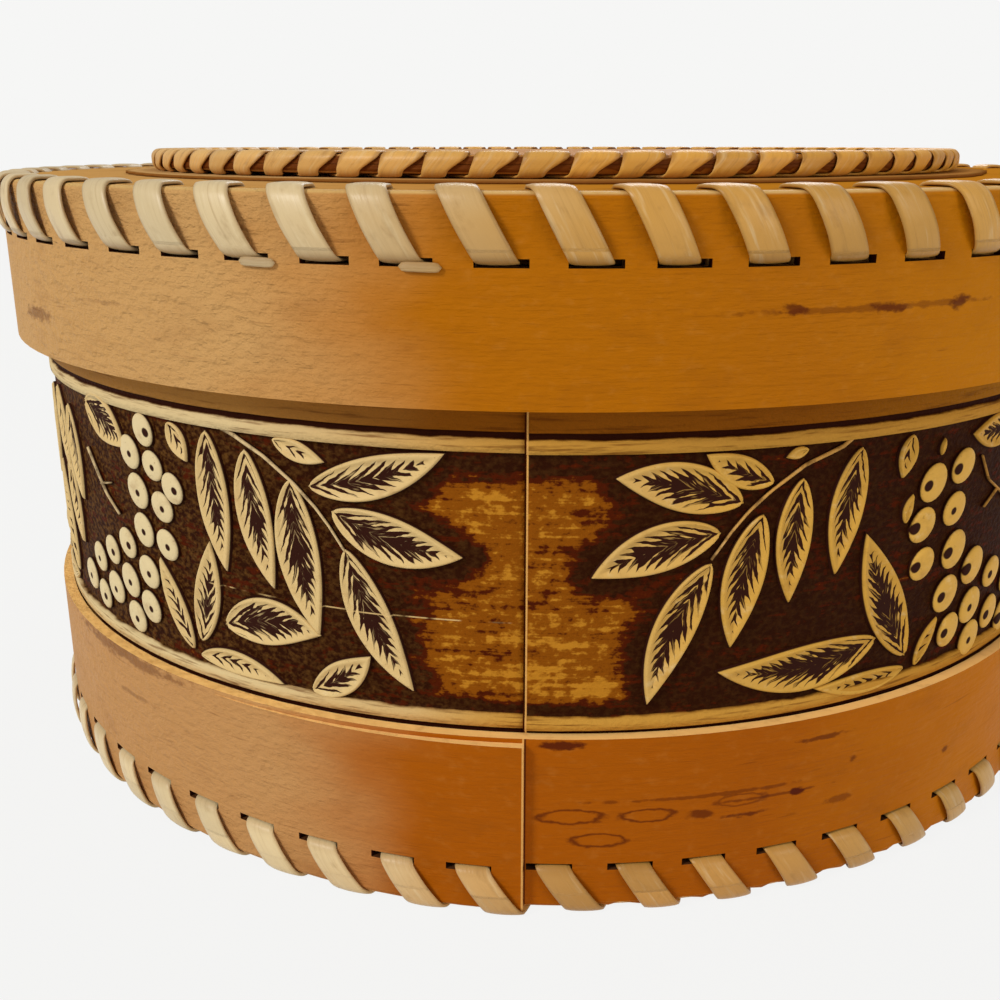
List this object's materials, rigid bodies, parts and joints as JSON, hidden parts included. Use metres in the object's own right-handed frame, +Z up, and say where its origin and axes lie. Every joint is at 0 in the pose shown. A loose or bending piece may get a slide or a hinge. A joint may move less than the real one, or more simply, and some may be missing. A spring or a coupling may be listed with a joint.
{
  "type": "birch bark box",
  "caption": "Round birch bark box with a lift-off lid, laced along its edges and round a raised disc, with an embossed band of rowan leaves and berries.",
  "frame": {"origin": "middle of the surface that the box stands on, on the axis of the box", "axes": "+Z up along the axis of the box, -Y towards the front, +X to the right seen from the front"},
  "size_m": [0.1812, 0.1812, 0.0925],
  "materials": {
    "inner_bark": "smooth inner side of birch bark, matte, tan",
    "amber_bark": "smooth inner side of birch bark, darker amber with fine wrinkles and lenticels",
    "embossed_bark": "pressed bark, stained dark in the field, with pale raised leaves and berries",
    "base_board": "laminated bark board, matte",
    "pale_bast": "pale split bast strip, slightly fibrous",
    "brown_bark_strip": "golden brown bark strip, satin"
  },
  "bodies": {
    "box": {"base_disc": "base_board", "floor_lining": "inner_bark", "inner_wall": "inner_bark", "embossed_band": "embossed_bark", "bottom_hoop": "amber_bark", "bottom_lacing": "pale_bast"},
    "lid": {"lid_hoop": "amber_bark", "lid_liner": "inner_bark", "lid_top": "inner_bark", "lid_lining": "inner_bark", "lid_lacing": "pale_bast", "lid_underlay": "inner_bark", "disc_pad": "base_board", "raised_disc_back": "inner_bark", "raised_disc_face": "amber_bark", "raised_disc_lacing": "brown_bark_strip"}
  },
  "joints": [
    {"name": "lid_lift", "type": "slide", "parent": "box", "child": "lid", "axis": [0, 0, 1], "range_m": [0, 0.06]}
  ]
}
